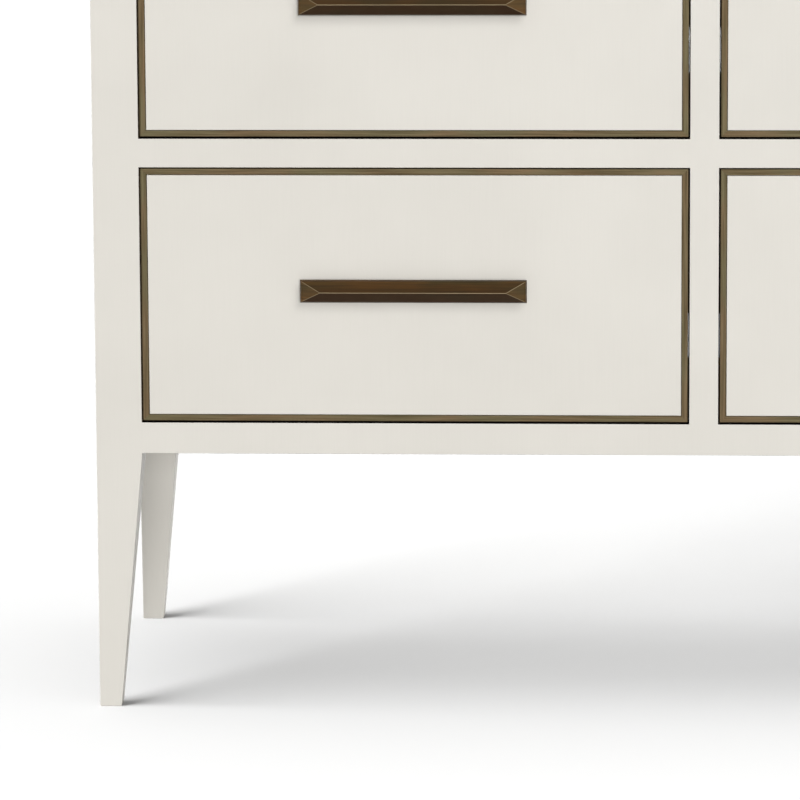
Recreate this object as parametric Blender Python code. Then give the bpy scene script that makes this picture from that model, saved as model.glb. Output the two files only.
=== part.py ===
"""A low chest of drawers on four tapered legs, with two columns of two inset drawers.

Blender 4.5, in metres. +Z is up, the drawers face -Y and X runs along the chest. The origin is on the
floor, under the middle of the whole chest with its pulls.
"""

import math

import bmesh
import bpy
from mathutils import Matrix, Vector

# Openings and the frame round them
opening_width = 0.5450
opening_height = 0.2557
post_width = 0.0458
post_depth = 0.0440
centre_stile_width = 0.0288
rail_depth = 0.0300
bottom_rail_height = 0.0313
middle_rail_height = 0.0288
top_rail_height = 0.0120
case_depth = 0.4577

# Legs
leg_height = 0.2585
foot_width = 0.0217

# Panels
top_thickness = 0.0190
top_arris = 0.0015
side_thickness = 0.0190
bottom_thickness = 0.0150
bottom_drop = 0.0080
back_thickness = 0.0090
rear_rail_depth = 0.0200

# Joints of the case
joint_gap = 0.0003
tenon_length = 0.0150
tenon_shoulder = 0.0030
stile_tenon_length = 0.0060
tongue_length = 0.0080
tongue_shoulder = 0.0065
housing_depth = 0.0080
housing_stop = 0.0080
rebate_width = 0.0100
lap_depth_share = 0.5

# Drawer front and its trim
front_thickness = 0.0200
front_side_gap = 0.0015
front_top_gap = 0.0010
front_bottom_gap = 0.0020
trim_width = 0.0062
trim_depth = 0.0040

# Drawer box
box_height = 0.2100
box_lift = 0.0160
box_rear_gap = 0.0300
box_wall = 0.0127
box_bottom_thickness = 0.0060
box_bottom_rise = 0.0100
groove_depth = 0.0060
sliding_tail_length = 0.0080
sliding_tail_neck = 0.0070
sliding_tail_tip = 0.0100
sliding_tail_root = 0.0040
sliding_tail_stop = 0.0200
tail_count = 5
tail_width_share = 0.64
tail_slope = 7

# Pull
pull_length = 0.2244
pull_height = 0.0214
pull_rise = 0.0060
pull_band = 0.0035
pull_draft = 0.0012
pull_ridge_rise = 0.0100
pull_hip_run = 0.0206
standoff_height = 0.0145
standoff_radius = 0.0055
standoff_spacing = 0.1600
standoff_root = 0.0020
standoff_sides = 20

# Drawer slides
slide_space = 0.0130
slide_height = 0.0450
slide_rear_gap = 0.0185
slide_rise = 0.0700
slide_setback = 0.0015
slide_metal = 0.0013
slide_clearance = 0.0004
channel_depth = 0.0095
channel_lip = 0.0060

# How far a cutter runs past what it cuts, and how near two corners count as one
overrun = 0.0020
weld_distance = 0.000003

# Places that follow from the sizes
pull_projection = standoff_height + pull_band + pull_ridge_rise
stile_half = centre_stile_width / 2
inner_half = stile_half + opening_width
case_half = inner_half + post_width
case_front = pull_projection / 2 - case_depth / 2
case_back = case_front + case_depth
case_bottom = leg_height
bottom_rail_top = case_bottom + bottom_rail_height
middle_rail_bottom = bottom_rail_top + opening_height
middle_rail_top = middle_rail_bottom + middle_rail_height
top_rail_bottom = middle_rail_top + opening_height
top_panel_bottom = top_rail_bottom + top_rail_height
top_panel_top = top_panel_bottom + top_thickness
posts_top = top_panel_bottom - joint_gap
post_rear = case_front + post_depth
rear_post_front = case_back - post_depth
back_panel_front = case_back - back_thickness
rear_rails_back = back_panel_front - joint_gap
rear_rail_front = rear_rails_back - rear_rail_depth
bottom_panel_top = bottom_rail_top - bottom_drop
drawer_front_rear = case_front + front_thickness
box_rear = case_back - box_rear_gap
slide_front = drawer_front_rear + slide_setback
slide_rear = case_back - slide_rear_gap

# Each drawing plane's turn from the ground plane
quarter = math.pi / 2
TURNS = {
    "XY": Matrix.Identity(4),
    "XZ": Matrix.Rotation(quarter, 4, "X"),
    "YZ": Matrix.Rotation(quarter, 4, "Z") @ Matrix.Rotation(quarter, 4, "X"),
}
ROWS = (("lower", bottom_rail_top), ("upper", middle_rail_top))
SIDES = (("left", -1), ("right", 1))


def new_collection(name):
    collection = bpy.data.collections.new(name)
    bpy.context.scene.collection.children.link(collection)
    return collection


def new_material(name, hex_colour, roughness, metallic):
    """A Principled material from an sRGB colour such as 0xE2DED6."""
    material = bpy.data.materials.new(name)
    material.use_nodes = True
    linear = []
    for shift in (16, 8, 0):
        value = (hex_colour >> shift & 255) / 255
        linear.append(value / 12.92 if value <= 0.04045 else ((value + 0.055) / 1.055) ** 2.4)
    shader = material.node_tree.nodes["Principled BSDF"]
    shader.inputs["Base Color"].default_value = (*linear, 1)
    shader.inputs["Roughness"].default_value = roughness
    shader.inputs["Metallic"].default_value = metallic
    material.diffuse_color = (*linear, 1)
    return material


for leftover in list(bpy.data.objects):
    bpy.data.objects.remove(leftover, do_unlink=True)

chest_parts = new_collection("chest_of_drawers")
helpers = new_collection("cutters")

lacquer = new_material("off_white_lacquer", 0xE2DED6, 0.35, 0.0)
bronze = new_material("aged_bronze", 0x70634D, 0.38, 1.0)
maple = new_material("maple", 0xD9BC92, 0.45, 0.0)
plywood = new_material("birch_plywood", 0xD8C3A0, 0.50, 0.0)
zinc_steel = new_material("zinc_plated_steel", 0xB9BCC0, 0.30, 1.0)


def new_carrier(name, place):
    """An empty at a world place, which carries the pieces that move together."""
    carrier = bpy.data.objects.new(name, None)
    carrier.location = place
    chest_parts.objects.link(carrier)
    bpy.context.view_layer.update()
    return carrier


def new_piece(name, bm, placed):
    """An object from a bmesh, faces out, kept with the helpers until it is finished."""
    bmesh.ops.recalc_face_normals(bm, faces=bm.faces)
    mesh = bpy.data.meshes.new(name)
    bm.to_mesh(mesh)
    bm.free()
    piece = bpy.data.objects.new(name, mesh)
    piece.matrix_world = placed
    helpers.objects.link(piece)
    return piece


def finish(piece, material, carrier):
    """Gives a piece its material and hangs it on the empty that carries it."""
    helpers.objects.unlink(piece)
    chest_parts.objects.link(piece)
    piece.data.materials.append(material)
    piece.parent = carrier
    piece.matrix_parent_inverse = carrier.matrix_world.inverted()
    return piece


def shape(piece, tool, operation="DIFFERENCE"):
    """Cuts a piece with a helper, or joins the helper to it."""
    tool.hide_render = True
    tool.display_type = "WIRE"
    modifier = piece.modifiers.new(tool.name, "BOOLEAN")
    modifier.operation = operation
    modifier.solver = "EXACT"
    modifier.object = tool


def board(name, corner, opposite, steps=()):
    """A board between two corners; each step insets the face on one side and draws it out.

    A step is (side, shoulder, length), as for a tenon or for a raised field.
    """
    low = Vector(map(min, corner, opposite))
    size = Vector(map(max, corner, opposite)) - low
    bm = bmesh.new()
    bmesh.ops.create_cube(bm, size=1)
    bmesh.ops.scale(bm, vec=size, verts=bm.verts)
    bm.normal_update()
    for side, shoulder, length in steps:
        side = Vector(side)
        face = max(bm.faces, key=lambda each: each.normal.dot(side))
        bmesh.ops.inset_region(bm, faces=[face], thickness=shoulder, use_even_offset=True)
        drawn = bmesh.ops.extrude_discrete_faces(bm, faces=[face])["faces"][0]
        bmesh.ops.translate(bm, vec=side * length, verts=drawn.verts)
        bm.normal_update()
    return new_piece(name, bm, Matrix.Translation(low + size / 2))


def prism(name, plane, outlines, near, far):
    """Flat outlines in one plane, filled and carried across it from near to far."""
    middle = Vector((0, 0, 0))
    for index, letter in enumerate("XYZ"):
        if letter not in plane:
            middle[index] = (near + far) / 2
    curve = bpy.data.curves.new(name, "CURVE")
    curve.dimensions = "2D"
    curve.fill_mode = "BOTH"
    curve.extrude = abs(far - near) / 2
    for outline in outlines:
        spline = curve.splines.new("POLY")
        spline.points.add(len(outline) - 1)
        for point, (x, y) in zip(spline.points, outline):
            point.co = (x, y, 0, 1)
        spline.use_cyclic_u = True
    drawn = bpy.data.objects.new(name, curve)
    drawn.matrix_world = Matrix.Translation(middle) @ TURNS[plane]
    helpers.objects.link(drawn)
    bpy.context.view_layer.update()
    graph = bpy.context.evaluated_depsgraph_get()
    filled = bpy.data.meshes.new_from_object(drawn.evaluated_get(graph))
    bm = bmesh.new()
    bm.from_mesh(filled)
    bmesh.ops.remove_doubles(bm, verts=bm.verts, dist=weld_distance)
    placed = drawn.matrix_world.copy()
    bpy.data.meshes.remove(filled)
    bpy.data.objects.remove(drawn)
    return new_piece(name, bm, placed)


def tenons(side, length):
    """The steps that give a board a tenon on both ends along one direction."""
    other = [-value for value in side]
    return (side, tenon_shoulder, length), (other, tenon_shoulder, length)


def mortises(name, corner, opposite, along, length):
    """One cutter for the mortises at both ends of a board with tenons."""
    grow = Vector.Fill(3, joint_gap - tenon_shoulder)
    grow[along] = length + joint_gap
    return board(name, Vector(corner) - grow, Vector(opposite) + grow)


# The case


def rail_corners():
    """Two opposite corners of each rail, without its tenons."""
    half = inner_half - joint_gap
    front_back = case_front + rail_depth
    return {
        "bottom_front_rail": ((-half, case_front, case_bottom), (half, front_back, bottom_rail_top)),
        "middle_front_rail": ((-half, case_front, middle_rail_bottom), (half, front_back, middle_rail_top)),
        "top_front_rail": ((-half, case_front, top_rail_bottom), (half, post_rear, posts_top)),
        "rear_bottom_rail": ((-half, rear_rail_front, case_bottom), (half, rear_rails_back, bottom_rail_top)),
        "rear_top_rail": ((-half, rear_post_front, top_rail_bottom), (half, rear_rails_back, posts_top)),
    }


def leg_relief(name, top, foot, away):
    """A wedge that brings a leg's inner face from the post's depth in to the foot's."""
    run = away * overrun * (post_depth - foot_width) / case_bottom
    outline = (
        (top + run, case_bottom + overrun),
        (foot - run, -overrun),
        (top + away * overrun, -overrun),
    )
    return prism(name, "YZ", [outline], -case_half - overrun, case_half + overrun)


def make_posts(case, rail_mortises):
    """Four posts that end in legs, tapered on their two inner sides."""
    front_relief = leg_relief("front_leg_relief", post_rear, case_front + foot_width, 1)
    rear_relief = leg_relief("rear_leg_relief", rear_post_front, case_back - foot_width, -1)
    back_rebate = board(
        "back_rebate",
        (-inner_half - rebate_width, back_panel_front - joint_gap, case_bottom - joint_gap),
        (inner_half + rebate_width, case_back + overrun, posts_top + overrun),
    )
    for side_name, side in SIDES:
        outline = (
            (side * case_half, 0),
            (side * (case_half - foot_width), 0),
            (side * inner_half, case_bottom),
            (side * inner_half, posts_top),
            (side * case_half, posts_top),
        )
        panel_groove = board(
            side_name + "_panel_groove",
            (side * (case_half - tongue_shoulder + joint_gap), post_rear - tongue_length,
             case_bottom - joint_gap),
            (side * (case_half - side_thickness + tongue_shoulder - joint_gap),
             rear_post_front + tongue_length, posts_top + overrun),
        )
        front = prism("front_%s_post" % side_name, "XZ", [outline], case_front, post_rear)
        rear = prism("rear_%s_post" % side_name, "XZ", [outline], rear_post_front, case_back)
        for name in ("bottom_front_rail", "middle_front_rail", "top_front_rail"):
            shape(front, rail_mortises[name])
        for name in ("rear_bottom_rail", "rear_top_rail"):
            shape(rear, rail_mortises[name])
        shape(front, front_relief)
        shape(rear, rear_relief)
        shape(rear, back_rebate)
        for post in (front, rear):
            shape(post, panel_groove)
            finish(post, lacquer, case)


def make_frame(case):
    """The rails and the centre stile, tenoned together and half-lapped where they cross."""
    corners = rail_corners()
    rails = {}
    for name, (corner, opposite) in corners.items():
        rails[name] = board(name, corner, opposite, tenons((1, 0, 0), tenon_length))
    stile_corners = (
        (-stile_half, case_front, bottom_rail_top + joint_gap),
        (stile_half, case_front + rail_depth, top_rail_bottom - joint_gap),
    )
    stile = board("centre_stile", *stile_corners, tenons((0, 0, 1), stile_tenon_length))
    stile_mortises = mortises("stile_mortises", *stile_corners, 2, stile_tenon_length)
    shape(rails["bottom_front_rail"], stile_mortises)
    shape(rails["top_front_rail"], stile_mortises)

    lap = case_front + rail_depth * lap_depth_share
    rail_lap = board(
        "rail_lap",
        (-stile_half - joint_gap, case_front - overrun, middle_rail_bottom - overrun),
        (stile_half + joint_gap, lap + joint_gap / 2, middle_rail_top + overrun),
    )
    stile_lap = board(
        "stile_lap",
        (-stile_half - overrun, lap - joint_gap / 2, middle_rail_bottom - joint_gap),
        (stile_half + overrun, case_front + rail_depth + overrun, middle_rail_top + joint_gap),
    )
    shape(rails["middle_front_rail"], rail_lap)
    shape(stile, stile_lap)

    panel_low = bottom_panel_top - bottom_thickness - joint_gap
    housing_half = inner_half - housing_stop
    front_housing = board(
        "front_housing",
        (-housing_half, case_front + rail_depth - housing_depth, panel_low),
        (housing_half, case_front + rail_depth + overrun, bottom_panel_top + joint_gap),
    )
    rear_housing = board(
        "rear_housing",
        (-housing_half, rear_rail_front - overrun, panel_low),
        (housing_half, rear_rail_front + housing_depth, bottom_panel_top + joint_gap),
    )
    shape(rails["bottom_front_rail"], front_housing)
    shape(rails["rear_bottom_rail"], rear_housing)

    for name, rail in rails.items():
        finish(rail, maple if name.startswith("rear") else lacquer, case)
    finish(stile, lacquer, case)
    return {
        name: mortises(name + "_mortises", *pair, 0, tenon_length) for name, pair in corners.items()
    }


def make_side_panels(case):
    """The panels between the posts, with a tongue along each upright edge."""
    front = post_rear + joint_gap
    rear = rear_post_front - joint_gap
    for side_name, side in SIDES:
        outer = side * case_half
        inner = side * (case_half - side_thickness)
        tongue_outer = side * (case_half - tongue_shoulder)
        tongue_inner = side * (case_half - side_thickness + tongue_shoulder)
        outline = (
            (outer, front),
            (tongue_outer, front),
            (tongue_outer, front - tongue_length),
            (tongue_inner, front - tongue_length),
            (tongue_inner, front),
            (inner, front),
            (inner, rear),
            (tongue_inner, rear),
            (tongue_inner, rear + tongue_length),
            (tongue_outer, rear + tongue_length),
            (tongue_outer, rear),
            (outer, rear),
        )
        panel = prism("%s_side_panel" % side_name, "XY", [outline], case_bottom, posts_top)
        finish(panel, lacquer, case)


def make_top_panel(case):
    """The top, with its upper edges eased."""
    low = Vector((-case_half, case_front, top_panel_bottom))
    size = Vector((case_half, case_back, top_panel_top)) - low
    bm = bmesh.new()
    bmesh.ops.create_cube(bm, size=1)
    bmesh.ops.scale(bm, vec=size, verts=bm.verts)
    upper = [edge for edge in bm.edges if all(corner.co.z > 0 for corner in edge.verts)]
    bmesh.ops.bevel(bm, geom=upper, offset=top_arris, segments=2, profile=0.5, affect="EDGES")
    finish(new_piece("top_panel", bm, Matrix.Translation(low + size / 2)), lacquer, case)


def make_inner_panels(case):
    """The bottom, the back and the partition that carries the inner slides."""
    narrow = inner_half - housing_stop - joint_gap
    wide = case_half - side_thickness - joint_gap
    edges = (
        case_front + rail_depth - housing_depth + joint_gap,
        post_rear + joint_gap,
        rear_post_front - joint_gap,
        rear_rail_front + housing_depth - joint_gap,
    )
    outline = (
        (-narrow, edges[0]),
        (narrow, edges[0]),
        (narrow, edges[1]),
        (wide, edges[1]),
        (wide, edges[2]),
        (narrow, edges[2]),
        (narrow, edges[3]),
        (-narrow, edges[3]),
        (-narrow, edges[2]),
        (-wide, edges[2]),
        (-wide, edges[1]),
        (-narrow, edges[1]),
    )
    bottom = prism(
        "bottom_panel", "XY", [outline], bottom_panel_top - bottom_thickness, bottom_panel_top
    )
    finish(bottom, lacquer, case)

    half = inner_half + rebate_width - joint_gap
    back = board("back_panel", (-half, back_panel_front, case_bottom), (half, case_back, posts_top))
    finish(back, lacquer, case)

    front = case_front + rail_depth + joint_gap
    under_rails = top_rail_bottom - joint_gap
    outline = (
        (front, bottom_panel_top + joint_gap),
        (rear_rail_front - joint_gap, bottom_panel_top + joint_gap),
        (rear_rail_front - joint_gap, bottom_rail_top + joint_gap),
        (back_panel_front - joint_gap, bottom_rail_top + joint_gap),
        (back_panel_front - joint_gap, under_rails),
        (rear_post_front - joint_gap, under_rails),
        (rear_post_front - joint_gap, posts_top),
        (post_rear + joint_gap, posts_top),
        (post_rear + joint_gap, under_rails),
        (front, under_rails),
    )
    partition = prism("centre_partition", "YZ", [outline], -stile_half, stile_half)
    finish(partition, plywood, case)


# The drawers


def make_front(name, carrier, middle, opening_bottom):
    """A drawer front with a rebate round its face, and the trim frame let into it."""
    half = opening_width / 2 - front_side_gap
    low = opening_bottom + front_bottom_gap
    high = opening_bottom + opening_height - front_top_gap
    field_depth = trim_depth + joint_gap
    front = board(
        name + "_drawer_front",
        (middle - half, case_front + field_depth, low),
        (middle + half, drawer_front_rear, high),
        [((0, -1, 0), trim_width + joint_gap, field_depth)],
    )
    rings = []
    for inset in (0, trim_width):
        left, right = middle - half + inset, middle + half - inset
        rings.append(
            ((left, low + inset), (right, low + inset), (right, high - inset), (left, high - inset))
        )
    trim = prism(name + "_trim_frame", "XZ", rings, case_front, case_front + trim_depth)
    finish(trim, bronze, carrier)
    return front


def sliding_tail(name, middle, low, high, grow):
    """The long dovetail that holds a drawer side in the front, in plan wider at its tip."""
    root = drawer_front_rear + sliding_tail_root
    neck = sliding_tail_neck / 2 + grow
    tip = sliding_tail_tip / 2 + grow
    tip_y = drawer_front_rear - sliding_tail_length - grow
    outline = (
        (middle - neck, root),
        (middle - neck, drawer_front_rear),
        (middle - tip, tip_y),
        (middle + tip, tip_y),
        (middle + neck, drawer_front_rear),
        (middle + neck, root),
    )
    return prism(name, "XY", [outline], low, high)


def corner_tails(board_bottom, board_top, front_edge, rear_edge, grow):
    """The tails on a side's rear end, each a trapezium in the side's own plane."""
    pitch = (board_top - board_bottom) / tail_count
    root = box_rear - box_wall - joint_gap

    def half_width(y):
        return pitch * tail_width_share / 2 + (y - root) / tail_slope + grow

    tails = []
    for index in range(tail_count):
        centre = board_bottom + pitch * (index + 0.5)
        tails.append(
            (
                (front_edge, centre - half_width(front_edge)),
                (rear_edge, centre - half_width(rear_edge)),
                (rear_edge, centre + half_width(rear_edge)),
                (front_edge, centre + half_width(front_edge)),
            )
        )
    return tails


def make_box(name, carrier, front, middle, opening_bottom):
    """The drawer box: sides dovetailed into the front and the back, over a grooved-in bottom."""
    low = opening_bottom + box_lift
    high = low + box_height
    bottom_low = low + box_bottom_rise
    bottom_high = bottom_low + box_bottom_thickness
    back_low = bottom_high + joint_gap
    outside_half = opening_width / 2 - slide_space
    inside_half = outside_half - box_wall
    side_front = drawer_front_rear + joint_gap
    root = box_rear - box_wall - joint_gap
    groove_front = drawer_front_rear + sliding_tail_root
    tail_top = high - sliding_tail_stop

    back = board(
        name + "_drawer_back",
        (middle - outside_half, box_rear - box_wall, back_low),
        (middle + outside_half, box_rear, high),
    )
    for side_name, side in SIDES:
        outer = middle + side * outside_half
        inner = middle + side * inside_half
        tails = corner_tails(back_low, high, root, box_rear, 0)
        outline = [(side_front, low), (box_rear, low), (box_rear, bottom_high), (root, bottom_high)]
        outline += [point for tail in tails for point in tail]
        outline += [(root, high), (side_front, high)]
        piece = prism("%s_drawer_%s_side" % (name, side_name), "YZ", [outline], inner, outer)

        centre = (outer + inner) / 2
        label = "%s_%s" % (name, side_name)
        shape(piece, sliding_tail(label + "_sliding_tail", centre, low, tail_top, 0), "UNION")
        bottom_groove = board(
            label + "_bottom_groove",
            (inner - side * overrun, groove_front, bottom_low - joint_gap),
            (inner + side * groove_depth, box_rear + overrun, bottom_high + joint_gap),
        )
        shape(piece, bottom_groove)
        finish(piece, maple, carrier)

        front_socket = sliding_tail(
            label + "_front_socket", centre, opening_bottom, tail_top + joint_gap, joint_gap
        )
        shape(front, front_socket)
        sockets = corner_tails(back_low, high, root - overrun, box_rear + overrun, joint_gap)
        shape(back, prism(label + "_back_sockets", "YZ", sockets,
                          inner - side * joint_gap, outer + side * overrun))

    front_groove = board(
        name + "_front_groove",
        (middle - inside_half, drawer_front_rear - groove_depth, bottom_low - joint_gap),
        (middle + inside_half, drawer_front_rear + overrun, bottom_high + joint_gap),
    )
    shape(front, front_groove)

    narrow = inside_half - joint_gap
    wide = inside_half + groove_depth - joint_gap
    front_edge = drawer_front_rear - groove_depth + joint_gap
    shoulder = groove_front + joint_gap
    outline = (
        (middle - narrow, front_edge),
        (middle + narrow, front_edge),
        (middle + narrow, shoulder),
        (middle + wide, shoulder),
        (middle + wide, box_rear),
        (middle - wide, box_rear),
        (middle - wide, shoulder),
        (middle - narrow, shoulder),
    )
    bottom = prism(name + "_drawer_bottom", "XY", [outline], bottom_low, bottom_high)
    finish(front, lacquer, carrier)
    finish(back, maple, carrier)
    finish(bottom, plywood, carrier)


def slice_off(bm, point, outwards):
    """Takes off what lies beyond a plane and closes the cut."""
    geometry = bm.verts[:] + bm.edges[:] + bm.faces[:]
    bmesh.ops.bisect_plane(
        bm, geom=geometry, dist=weld_distance, plane_co=point, plane_no=outwards, clear_outer=True
    )
    bmesh.ops.edgeloop_fill(bm, edges=[edge for edge in bm.edges if edge.is_boundary])


def make_pull(name, carrier, middle, opening_bottom):
    """A bar shaped like a hipped roof, standing off the drawer front on two round posts."""
    height = opening_bottom + opening_height / 2 + pull_rise
    depth = pull_band + pull_ridge_rise
    bar_back = case_front - standoff_height
    bm = bmesh.new()
    bmesh.ops.create_cube(bm, size=1)
    bmesh.ops.scale(bm, vec=(pull_length, depth, pull_height), verts=bm.verts)
    band_front = depth / 2 - pull_band
    half_height = pull_height / 2 - pull_draft
    half_length = pull_length / 2 - pull_draft
    for side in (-1, 1):
        above = (0, band_front, side * half_height)
        beside = (side * half_length, band_front, 0)
        slice_off(bm, above, (0, -pull_draft, side * pull_band))
        slice_off(bm, beside, (side * pull_band, -pull_draft, 0))
        slice_off(bm, above, (0, -half_height, side * pull_ridge_rise))
        slice_off(bm, beside, (side * pull_ridge_rise, pull_draft - pull_hip_run, 0))
    pull = new_piece(name + "_pull", bm, Matrix.Translation((middle, bar_back - depth / 2, height)))
    for side_name, side in SIDES:
        bm = bmesh.new()
        length = standoff_height - joint_gap + standoff_root
        bmesh.ops.create_cone(
            bm, cap_ends=True, segments=standoff_sides, radius1=standoff_radius,
            radius2=standoff_radius, depth=length
        )
        place = (middle + side * standoff_spacing / 2, case_front - joint_gap - length / 2, height)
        lying = Matrix.Translation(place) @ TURNS["XZ"]
        shape(pull, new_piece("%s_%s_standoff" % (name, side_name), bm, lying), "UNION")
    finish(pull, bronze, carrier)


def make_slides(name, case, carrier, middle, opening_bottom):
    """A pair of two-part slides: a lipped channel on the case and a hat section on the box."""
    height = opening_bottom + box_lift + slide_rise
    for side_name, side in SIDES:
        face = middle + side * opening_width / 2

        def mirrored(half):
            """Points from the middle outwards, as (distance from the case, height), both ways."""
            points = half + [(out, -up) for out, up in reversed(half)]
            return [(face - side * out, height + up) for out, up in points]

        top = slide_height / 2
        lip = top - channel_lip
        channel = mirrored([
            (joint_gap + slide_metal, top - slide_metal),
            (channel_depth - slide_metal, top - slide_metal),
            (channel_depth - slide_metal, lip),
            (channel_depth, lip),
            (channel_depth, top),
            (joint_gap, top),
        ])
        brim = channel_depth - slide_metal - slide_clearance
        crown = slide_space - joint_gap
        wall = lip - slide_clearance
        hat = mirrored([
            (crown - slide_metal, wall - slide_metal),
            (brim - slide_metal, wall - slide_metal),
            (brim - slide_metal, top - slide_metal - slide_clearance),
            (brim, top - slide_metal - slide_clearance),
            (brim, wall),
            (crown, wall),
        ])
        label = "%s_%s" % (name, side_name)
        outer = prism(label + "_case_slide", "XZ", [channel], slide_front, slide_rear)
        inner = prism(label + "_drawer_slide", "XZ", [hat], slide_front, box_rear - slide_setback)
        finish(outer, zinc_steel, case)
        finish(inner, zinc_steel, carrier)


def make_drawer(case, row_name, opening_bottom, column_name, column):
    """One drawer with its slides, in the column left (-1) or right (1) of the middle."""
    name = "%s_%s" % (row_name, column_name)
    middle = column * (stile_half + opening_width / 2)
    carrier = new_carrier(name + "_drawer", (middle, case_front, opening_bottom + opening_height / 2))
    front = make_front(name, carrier, middle, opening_bottom)
    make_box(name, carrier, front, middle, opening_bottom)
    make_pull(name, carrier, middle, opening_bottom)
    make_slides(name, case, carrier, middle, opening_bottom)


case_carrier = new_carrier("case", (0, 0, 0))
make_posts(case_carrier, make_frame(case_carrier))
make_side_panels(case_carrier)
make_top_panel(case_carrier)
make_inner_panels(case_carrier)
for row, row_bottom in ROWS:
    for column, side_of_middle in SIDES:
        make_drawer(case_carrier, row, row_bottom, column, side_of_middle)
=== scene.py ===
"""The looks of a lacquered chest of four drawers with aged bronze trims and pulls.

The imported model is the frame. The painted case is skinned as one seamless shell, each drawer gets
a lacquered front, a mitred bronze trim and a hipped bronze pull, and the slides, screws and timber
parts get their own shapes and finishes. A plain white floor, even studio light and the camera
come last.
"""

import logging
import math
from dataclasses import dataclass, field
from enum import Enum

import bmesh
import bpy
import numpy as np
from mathutils import Matrix, Vector

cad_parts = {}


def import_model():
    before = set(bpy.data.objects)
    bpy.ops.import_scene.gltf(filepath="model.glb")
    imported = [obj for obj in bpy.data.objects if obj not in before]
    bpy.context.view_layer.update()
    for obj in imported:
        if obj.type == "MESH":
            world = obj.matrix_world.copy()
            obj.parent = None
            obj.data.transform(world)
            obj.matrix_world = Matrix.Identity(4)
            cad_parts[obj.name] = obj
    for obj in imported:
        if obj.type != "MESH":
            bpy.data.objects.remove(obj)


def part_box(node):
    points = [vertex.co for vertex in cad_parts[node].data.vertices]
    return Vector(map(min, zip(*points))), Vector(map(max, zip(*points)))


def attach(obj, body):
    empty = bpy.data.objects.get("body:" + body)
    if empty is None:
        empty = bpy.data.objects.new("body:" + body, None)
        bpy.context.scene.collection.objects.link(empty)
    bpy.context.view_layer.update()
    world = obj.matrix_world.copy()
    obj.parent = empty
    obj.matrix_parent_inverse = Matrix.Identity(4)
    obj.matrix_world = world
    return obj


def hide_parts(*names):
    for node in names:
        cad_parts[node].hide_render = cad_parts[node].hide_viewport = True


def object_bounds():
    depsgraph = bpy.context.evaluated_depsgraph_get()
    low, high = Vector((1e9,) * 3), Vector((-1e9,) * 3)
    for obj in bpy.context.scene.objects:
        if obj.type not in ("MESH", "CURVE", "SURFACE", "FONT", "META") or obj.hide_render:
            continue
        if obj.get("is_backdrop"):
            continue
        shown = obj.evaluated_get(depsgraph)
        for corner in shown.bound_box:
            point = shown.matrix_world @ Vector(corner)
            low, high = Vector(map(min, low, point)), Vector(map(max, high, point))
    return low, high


log = logging.getLogger("chest")


class Grain(Enum):
    """The direction in which a board's fibres run, as the stretch of its pattern along x, y, z."""

    ACROSS = (0, 1, 1)
    DEEP = (1, 0, 1)
    UPRIGHT = (1, 1, 0)

    def scale(self, along: float, across: float) -> tuple[float, float, float]:
        """Gives a pattern's repeats per metre along the fibres and across them.

        Args:
            along: Repeats per metre along the fibres.
            across: Repeats per metre across them.

        Returns:
            The three scales of a Mapping node.
        """
        return tuple(across if turned else along for turned in self.value)


class Face(Enum):
    """The plane in which a rectangle lies: its two axes, and the axis that its depth runs along."""

    FRONT = (0, 2, 1)
    LEVEL = (0, 1, 2)


# Shapes


@dataclass
class Skin:
    """Points, faces and point marks of one or more closed surfaces, kept until they are a mesh."""

    points: np.ndarray
    faces: list[list[int]]
    marks: dict[str, np.ndarray] = field(default_factory=dict)

    def __add__(self, other: "Skin") -> "Skin":
        """Puts another skin's points and faces behind this one's.

        Args:
            other: The skin to add, with marks of the same names.

        Returns:
            Both as one skin.
        """
        first = len(self.points)
        moved = [[corner + first for corner in face] for face in other.faces]
        marks = {name: np.concatenate((self.marks[name], other.marks[name])) for name in self.marks}
        return Skin(np.concatenate((self.points, other.points)), self.faces + moved, marks)

    def piece(self, name: str) -> bpy.types.Object:
        """Makes the skin an object at the origin, with its faces looking outwards.

        Args:
            name: The object's name.

        Returns:
            The new object.
        """
        mesh = bpy.data.meshes.new(name)
        mesh.from_pydata(self.points.tolist(), [], self.faces)
        for mark, values in self.marks.items():
            kind, entry = ("FLOAT", "value") if values.ndim == 1 else ("FLOAT_VECTOR", "vector")
            layer = mesh.attributes.new(mark, kind, "POINT")
            layer.data.foreach_set(entry, values.astype(np.float32).ravel())
        bm = bmesh.new()
        bm.from_mesh(mesh)
        bmesh.ops.recalc_face_normals(bm, faces=bm.faces)
        bm.to_mesh(mesh)
        bm.free()
        mesh.update()
        made = bpy.data.objects.new(name, mesh)
        bpy.context.scene.collection.objects.link(made)
        return made


def lofted(rings: np.ndarray, **marks: np.ndarray) -> Skin:
    """Skins a row of rings that have equal numbers of points, and closes both ends.

    Point k of ring r is row r, column k. Each face joins points k and k + 1 of ring r to those of
    ring r + 1, and the last point joins the first again.

    Args:
        rings: The points, as rings by points by three.
        marks: A number or a vector for every point, by mark name.

    Returns:
        The closed skin.
    """
    count, size = rings.shape[:2]
    here = np.arange(count * size).reshape(count, size)
    after = np.roll(here, -1, axis=1)
    walls = np.stack((here[:-1], after[:-1], after[1:], here[1:]), axis=-1).reshape(-1, 4)
    faces = walls.tolist() + [here[0].tolist(), here[-1].tolist()]
    flat = {
        name: values.reshape(count * size, *values.shape[2:]) for name, values in marks.items()
    }
    return Skin(rings.reshape(-1, 3), faces, flat)


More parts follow.
